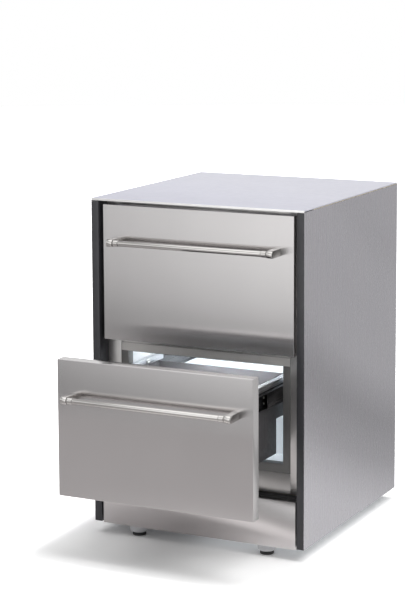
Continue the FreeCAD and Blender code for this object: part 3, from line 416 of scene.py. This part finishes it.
for node, bevel in (
        ("top_panel", 2.2), ("side_panel_left", 0.5), ("side_panel_right", 0.5),
        ("front_trim_left", 0.6), ("front_trim_right", 0.6), ("kick_plate", 0.6),
        ("frame_stile_left", 0.6), ("frame_stile_right", 0.6), ("frame_rail_top", 0.6),
        ("frame_rail_middle", 0.6), ("frame_rail_bottom", 0.6), ("back_panel", 0.3),
        ("upper_drawer_front", 1.0), ("lower_drawer_front", 1.0),
        ("upper_opening_frame", 0.7), ("lower_opening_frame", 0.7),
        ("upper_liner", 0.9), ("lower_liner", 0.9), ("base_pan", 0.6),
        ("upper_bin", 0.8), ("lower_bin", 0.8), ("upper_bin_rails", 0.7),
        ("lower_bin_rails", 0.7), ("drip_tray", 0.8), ("control_box", 0.8),
        ("compressor", 1.2), ("compressor_terminal_cover", 1.5), ("power_inlet", 0.4),
        ("upper_light", 1.0), ("lower_light", 1.0),
        ("upper_handle_posts", 1.1), ("lower_handle_posts", 1.1),
        ("upper_slide_cabinet_members", 0.3), ("lower_slide_cabinet_members", 0.3),
        ("upper_slide_middle_members", 0.3), ("lower_slide_middle_members", 0.3),
        ("upper_slide_drawer_members", 0.3), ("lower_slide_drawer_members", 0.3)):
    softened(node, bevel)

# ------------------------------------------------------------------ drawers

LEVELS = (
    # name, how far it stands out, front low and high, opening low and high, foot of the rails
    ("upper", 0, 525.0, 881.0, 558.0, 850.0, 802.0),
    ("lower", OPEN, 165.0, 518.0, 233.8, 489.0, 441.0),
)
BAR_OUT, BAR_DROP = 36.5, 93    # the bar's axis: ahead of y = 0, and under the front's top edge
# Half of the bar, from its end to the groove inside its collar: distance and radius.
BAR_END = [(218.0, 0.3), (218.0, 5.8), (217.6, 6.25), (216.5, 6.25), (216.3, 8.0),
           (215.6, 8.5), (203.4, 8.5), (202.6, 7.9), (202.4, 6.9), (201.2, 6.9),
           (201.0, 7.3), (200.6, 7.5)]
# Sections of outset and y, with the drawer closed.
PANEL_FLAT = ((0, 35.5), (0, 38.0), (-0.5, 38.5))
PANEL_STEP = ((0, 38.4), (-0.4, 40.5), (-1.2, 42.6), (-2.4, 43.6), (-4.0, 44.0))
SEAL_RIBS = ((-6, 38.5), (-6, 40.2), (-5.2, 41.2), (-4.2, 41.4), (-3.9, 43.4), (-4.2, 46.2),
             (-3.4, 47.2), (3.4, 47.2), (4.2, 46.2), (3.9, 43.4), (4.2, 41.4), (5.2, 41.2),
             (6, 40.2), (6, 38.5))
# Small turned parts, from their seat outwards: distance and radius.
CLIP = ((0.0, 6.2), (3.0, 6.2), (3.5, 5.7), (3.5, 4.3), (3.1, 3.8), (1.4, 3.8))
RIVET = ((0.0, 3.4), (1.0, 3.2), (1.7, 2.2), (1.8, 1.1), (1.2, 0.9))
CLIPS_AT = ((1, 203), (1, 252), (-1, 356))      # side and y, with the drawer closed
RIVETS_AT = (114, 198, 286)                     # y, with the drawer closed
RIVETS_UNDER = (-29.0, -14.0)                   # height under the rails

for name, shift, low, high, open_low, open_high, rail in LEVELS:
    body = name + "_drawer"
    shape = bmesh.new()
    turned(shape, (0, -BAR_OUT - shift, high - BAR_DROP), "x",
           BAR_END + [(-x, r) for x, r in reversed(BAR_END)], 56)
    piece(name + "_handle_bar_turned", shape, "handle_steel", body,
          (name + "_handle_bar",), angle=28)

    shape = bmesh.new()
    framed(shape, 270.55, low + 1.2, high - 1.2, 3.0,
           [(out, depth - shift) for out, depth in PANEL_FLAT], closed=False)
    framed(shape, 213.2, open_low + 10, open_high - 10, 12.0,
           [(out, depth - shift) for out, depth in PANEL_STEP], closed=False)
    piece(name + "_inner_panel_formed", shape, "border_grey", body,
          (name + "_inner_panel",), angle=50)

    shape = bmesh.new()
    framed(shape, 233.6, open_low - 11.6, open_high + 11.6, 7.0,
           [(out, depth - shift) for out, depth in SEAL_RIBS])
    piece(name + "_gasket_ribbed", shape, "seal_rubber", body, (name + "_gasket",), angle=40)

    shape = bmesh.new()
    for side, deep in CLIPS_AT:
        turned(shape, (side * 200.0, deep - shift, rail + 9.5), "x",
               [(side * -d, r) for d, r in CLIP], 32)
    piece(name + "_rail_clips", shape, "liner_white", body, material=WHITE_CLIP)

    shape = bmesh.new()
    for side in (-1, 1):
        for deep in RIVETS_AT:
            for under in RIVETS_UNDER:
                turned(shape, (side * 211.6, deep - shift, rail + under), "x",
                       [(side * d, r) for d, r in RIVET], 20)
    piece(name + "_slide_rivets", shape, "slide_steel", body, material=ZINC)

# ------------------------------------------------------------------ opening heads

for name, *_, open_high, rail in LEVELS:
    shape = bmesh.new()
    block(shape, (-243.0, 47.3, open_high + 1.0), (243.0, 48.0, open_high + 22.4))
    piece(name + "_opening_head", shape, "frame_steel", "cabinet", bevel=0.1,
          material=HEAD_STEEL)

# ------------------------------------------------------------------ toe recess

# Painted shade: a dark strip fills the gap behind the kick plate's top edge, standing in for the
# shade in that gap.
shape = bmesh.new()
block(shape, (-281.5, 16, 150.5), (281.5, 47, 157.4))
piece("toe_recess_painted_shade", shape, "grommet_rubber", "cabinet", bevel=1.0)

# ------------------------------------------------------------------ levelling legs

for end, deep in (("front", 31), ("back", 612)):
    for side, place in (("left", -186), ("right", 186)):
        tag = "%s_%s" % (end, side)
        body, node = "leg_" + tag, "levelling_leg_" + tag
        shape = bmesh.new()
        turned(shape, (place, deep, 0), "z",
               [(10.0, 20.4), (10.6, 21.6), (12.0, 23.4), (13.6, 24.4), (15.8, 25.0),
                (26.0, 25.0), (27.1, 24.6), (27.7, 23.6)])
        piece(node + "_collar", shape, "leg_grey", body, (node,))
        shape = bmesh.new()
        turned(shape, (place, deep, 0), "z",
               [(0.0, 17.2), (1.0, 18.3), (3.0, 18.5), (3.6, 18.0), (4.6, 18.0),
                (5.2, 18.5), (7.2, 18.5), (7.8, 18.0), (8.8, 18.0), (9.4, 18.5),
                (10.1, 18.5)])
        piece(node + "_pad", shape, "grommet_rubber", body, (node,))
        shape = bmesh.new()
        thread = [(27.6, 4.3)]
        for ridge in range(18):
            thread += [(28.2 + 1.5 * ridge, 4.3), (28.9 + 1.5 * ridge, 4.95)]
        turned(shape, (place, deep, 0), "z", thread + [(55.4, 4.3), (56.0, 3.8)], 24)
        piece(node + "_stud", shape, "slide_steel", body, (node,), material=ZINC)

# ------------------------------------------------------------------ camera and light


def aimed(obj, place, target):
    """Put an object in place, looking at the target."""
    obj.location = place
    obj.rotation_euler = (Vector(target) - Vector(place)).to_track_quat("-Z", "Y").to_euler()
    bpy.context.scene.collection.objects.link(obj)
    return obj


# Tones are pairs of a place and a brightness. The sky's place is the sine of its height, the
# floor's is metres from the origin, and the card's is metres above the floor.
SKY_DIFFUSE, SKY_BEHIND, DARK_SIDE = 0.46, 0.60, 0.10
SKY_FRONT = ((0.0, 1.0), (0.42, 1.0), (0.58, 0.60), (0.72, 0.60), (0.82, 1.5), (1.0, 1.7))
FLOOR_FRONT = ((0.0, 1.0), (0.46, 0.95), (0.7, 0.52), (0.9, 0.48), (2.2, 0.44), (5.0, 0.75),
               (8.0, 0.95))
FLOOR_BEHIND = ((0.0, 0.90), (0.6, 0.84), (1.08, 0.54), (1.65, 0.44), (2.6, 0.62), (5.0, 0.62),
                (9.0, 0.63))
FLOOR_WARMTH = (1.0, 0.965, 0.965)      # red, green and blue, in gloss alone
FLOOR_PLAIN = 0.98
FLOOR_SEEN = 1.25                       # for the camera alone: burnt out, as in the picture
FLOOR_REACH = 10.0                      # metres that the floor's tones span
FLOOR_RADIUS = 14.0
UNLIT_FROM = (1.4, 2.2)                 # metres from the origin, on the camera's side
FOOTPRINT = ((0.0, 0.21, 0.0), (0.312, 0.435, 1.0))    # the shadow's core: centre, half size
FLOOR_GLOW = (0.03, 0.11, 0.02, 0.75)   # round it, metres from and to, and glow from and to
CARD_Y, CARD_X, CARD_TOP = -1.7, (-2.8, 1.0), 1.7
CARD_LEFT = (-1.9, 0.1, 0.42, 1.15)     # x from and to, and brightness from and to
CARD_RIGHT = (0.35, 0.9, 1.0, 0.2)
CARD_RISE = ((0.0, 0.42), (0.12, 0.48), (0.26, 0.74), (0.45, 0.90), (0.65, 1.0), (0.82, 1.0),
             (0.90, 0.7))
CARD_STRIP = (0.86, 0.96, 0.0, 0.75)    # z from and to, and brightness from and to
CARD_GAIN = 1.12
# name, place in metres, strength and angle across in degrees
SUNS = (("key_sun", (0.9, 0.2, 4.2), 0.80, 22), ("side_sun", (2.9, 0.2, 4.2), 0.85, 26),
        ("fill_sun", (-1.6, 0.2, 4.2), 0.40, 44))
SUNS_AIM = (0, 0.2, 0.3)

FOCAL_PX, LONG_SIDE_PX, CENTRE_ROW_PX = 1917.0, 600, 210
CAMERA_PLACE = (2.173, -4.295, 1.540)
CAMERA_TURNS = ((26.61, "Z"), (90 - 7.785, "X"), (-0.283, "Z"))     # degrees
camera = bpy.data.objects.new("camera", bpy.data.cameras.new("camera"))
camera.data.lens = FOCAL_PX / LONG_SIDE_PX * camera.data.sensor_width
camera.data.shift_y = (CENTRE_ROW_PX - LONG_SIDE_PX / 2) / LONG_SIDE_PX
camera.data.clip_end = 100
stand = Matrix.Translation(CAMERA_PLACE)
for degrees, axis in CAMERA_TURNS:
    stand = stand @ Matrix.Rotation(math.radians(degrees), 4, axis)
camera.matrix_world = stand
bpy.context.scene.collection.objects.link(camera)
bpy.context.scene.camera = camera


class Studio:
    """Node helpers for the world, the floor and the card, which only gloss sees."""

    def __init__(self, tree):
        self.tree = tree
        self.ray = tree.nodes.new("ShaderNodeLightPath")

    def put(self, out, socket):
        if isinstance(out, (int, float)):
            socket.default_value = out
        else:
            self.tree.links.new(out, socket)

    def number(self, operation, first, second):
        made = self.tree.nodes.new("ShaderNodeMath")
        made.operation = operation
        self.put(first, made.inputs[0])
        self.put(second, made.inputs[1])
        return made.outputs[0]

    def vector(self, operation, first, second=None):
        made = self.tree.nodes.new("ShaderNodeVectorMath")
        made.operation = operation
        self.tree.links.new(first, made.inputs[0])
        if second is not None:
            made.inputs[1].default_value = second
        return made.outputs["Value" if operation in ("DOT_PRODUCT", "LENGTH") else "Vector"]

    def between(self, value, start, end, low, high):
        """Smoothly from low to high as the value goes from start to end."""
        made = self.tree.nodes.new("ShaderNodeMapRange")
        made.interpolation_type = "SMOOTHSTEP"
        for name, number in (("From Min", start), ("From Max", end), ("To Min", low),
                             ("To Max", high)):
            self.put(number, made.inputs[name])
        self.put(value, made.inputs["Value"])
        return made.outputs["Result"]

    def stops(self, value, longest, *pairs):
        """A tone from pairs of a place, up to the longest, and its brightness."""
        ramp = self.tree.nodes.new("ShaderNodeValToRGB")
        elements = ramp.color_ramp.elements
        while len(elements) < len(pairs):
            elements.new(0.5)
        for stop, (place, tone) in zip(elements, pairs):
            stop.position, stop.color = place / longest, (tone, tone, tone, 1)
        self.put(self.number("DIVIDE", value, longest), ramp.inputs["Fac"])
        return ramp.outputs["Color"]

    def pick(self, fac, plain, chosen):
        """One number or the other, by a ray's kind or a mask."""
        made = self.tree.nodes.new("ShaderNodeMix")
        made.data_type = "FLOAT"
        self.put(fac, made.inputs["Factor"])
        self.put(plain, made.inputs["A"])
        self.put(chosen, made.inputs["B"])
        return made.outputs["Result"]

    def backward(self, direction):
        """0 in front and on the left, 1 behind on the right."""
        return self.between(self.vector("DOT_PRODUCT", direction, (0.75, 0.65, 0.0)),
                            0.25, 0.9, 0.0, 1.0)

    def forward(self, direction):
        """1 towards the side the picture is taken from, which is unlit."""
        return self.between(self.vector("DOT_PRODUCT", direction, (0.5, -0.866, 0.0)),
                            0.78, 0.90, 0.0, 1.0)

    def glow(self, strength):
        made = self.tree.nodes.new("ShaderNodeEmission")
        self.put(strength, made.inputs["Strength"])
        return made.outputs["Emission"]


world = bpy.data.worlds.new("studio")
world.use_nodes = True
bpy.context.scene.world = world
studio = Studio(world.node_tree)
sky = world.node_tree.nodes.new("ShaderNodeTexCoord").outputs["Generated"]
height = world.node_tree.nodes.new("ShaderNodeSeparateXYZ")
studio.put(sky, height.inputs["Vector"])
seen = studio.pick(studio.backward(sky),
                   studio.stops(height.outputs["Z"], 1.0, *SKY_FRONT), SKY_BEHIND)
seen = studio.pick(studio.forward(sky), seen, DARK_SIDE)
strength = studio.pick(studio.ray.outputs["Is Glossy Ray"], SKY_DIFFUSE, seen)
for ray in ("Is Transmission Ray", "Is Camera Ray"):
    strength = studio.pick(studio.ray.outputs[ray], strength, 1.0)
studio.put(strength, world.node_tree.nodes["Background"].inputs["Strength"])
world.node_tree.nodes["Background"].inputs["Color"].default_value = (1, 1, 1, 1)


def stage_piece(name, corners, material):
    """One flat face of the studio."""
    shape = bmesh.new()
    shape.faces.new([shape.verts.new(corner) for corner in corners])
    mesh = bpy.data.meshes.new(name)
    shape.to_mesh(mesh)
    shape.free()
    mesh.materials.append(material)
    obj = bpy.data.objects.new(name, mesh)
    bpy.context.scene.collection.objects.link(obj)
    obj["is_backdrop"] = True
    return obj


def stage_material(name):
    """A material with its nodes cleared, its helpers, the place shaded and the surface."""
    material = bpy.data.materials.new(name)
    material.use_nodes = True
    material.node_tree.nodes.clear()
    out = material.node_tree.nodes.new("ShaderNodeOutputMaterial")
    place = material.node_tree.nodes.new("ShaderNodeNewGeometry").outputs["Position"]
    return material, Studio(material.node_tree), place, out.inputs["Surface"]


material, studio, place, surface = stage_material("studio_floor")
away = studio.vector("LENGTH", place)
glossy = studio.ray.outputs["Is Glossy Ray"]
lit = studio.tree.nodes.new("ShaderNodeBsdfDiffuse")
heading = studio.vector("NORMALIZE", place)
unlit = studio.number("MULTIPLY", studio.forward(heading),
                      studio.between(away, *UNLIT_FROM, 0.0, 1.0))
front_tone = studio.pick(unlit, studio.stops(away, FLOOR_REACH, *FLOOR_FRONT), DARK_SIDE)
tint = studio.tree.nodes.new("ShaderNodeCombineColor")
pale = studio.pick(studio.ray.outputs["Is Camera Ray"], FLOOR_PLAIN, FLOOR_SEEN)
for channel, warmth in zip(("Red", "Green", "Blue"), FLOOR_WARMTH):
    studio.put(studio.pick(glossy, pale, studio.number("MULTIPLY", front_tone, warmth)),
               tint.inputs[channel])
studio.put(tint.outputs["Color"], lit.inputs["Color"])
offset = studio.vector("ABSOLUTE", studio.vector("SUBTRACT", place, FOOTPRINT[0]))
outside = studio.vector("MAXIMUM", studio.vector("SUBTRACT", offset, FOOTPRINT[1]), (0, 0, 0))
burnt = studio.between(studio.vector("LENGTH", outside), *FLOOR_GLOW)
whitened = studio.tree.nodes.new("ShaderNodeAddShader")
studio.put(lit.outputs["BSDF"], whitened.inputs[0])
studio.put(studio.glow(studio.number("MULTIPLY", studio.ray.outputs["Is Camera Ray"], burnt)),
           whitened.inputs[1])
behind = studio.glow(studio.stops(away, FLOOR_REACH, *FLOOR_BEHIND))
blend = studio.tree.nodes.new("ShaderNodeMixShader")
studio.put(studio.number("MULTIPLY", glossy, studio.backward(heading)), blend.inputs["Fac"])
studio.put(whitened.outputs["Shader"], blend.inputs[1])
studio.put(behind, blend.inputs[2])
studio.put(blend.outputs["Shader"], surface)
stage_piece("studio_floor", [(math.cos(TURN * k / 96) * FLOOR_RADIUS,
                              math.sin(TURN * k / 96) * FLOOR_RADIUS, 0)
                             for k in range(96)], material)

material, studio, place, surface = stage_material("studio_card")
split = studio.tree.nodes.new("ShaderNodeSeparateXYZ")
studio.put(place, split.inputs[0])
side = studio.between(split.outputs["X"], *CARD_LEFT)
side = studio.number("MULTIPLY", side, studio.between(split.outputs["X"], *CARD_RIGHT))
tall = studio.number("MULTIPLY", studio.stops(split.outputs["Z"], CARD_TOP, *CARD_RISE),
                     CARD_GAIN)
strip = studio.between(split.outputs["Z"], *CARD_STRIP)
studio.put(studio.glow(studio.number("ADD", studio.number("MULTIPLY", side, tall), strip)),
           surface)
card = stage_piece("studio_card", [(x, CARD_Y, z) for x, z in (
    (CARD_X[0], 0.0), (CARD_X[1], 0.0), (CARD_X[1], CARD_TOP), (CARD_X[0], CARD_TOP))], material)
card.visible_camera = card.visible_diffuse = card.visible_shadow = False
card.visible_transmission = False

for name, place, strength, spread in SUNS:
    sun = bpy.data.lights.new(name, "SUN")
    sun.energy, sun.angle = strength, math.radians(spread)
    aimed(bpy.data.objects.new(name, sun), place, SUNS_AIM).visible_glossy = False

scene = bpy.context.scene
scene.view_settings.view_transform = "Standard"

low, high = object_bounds()
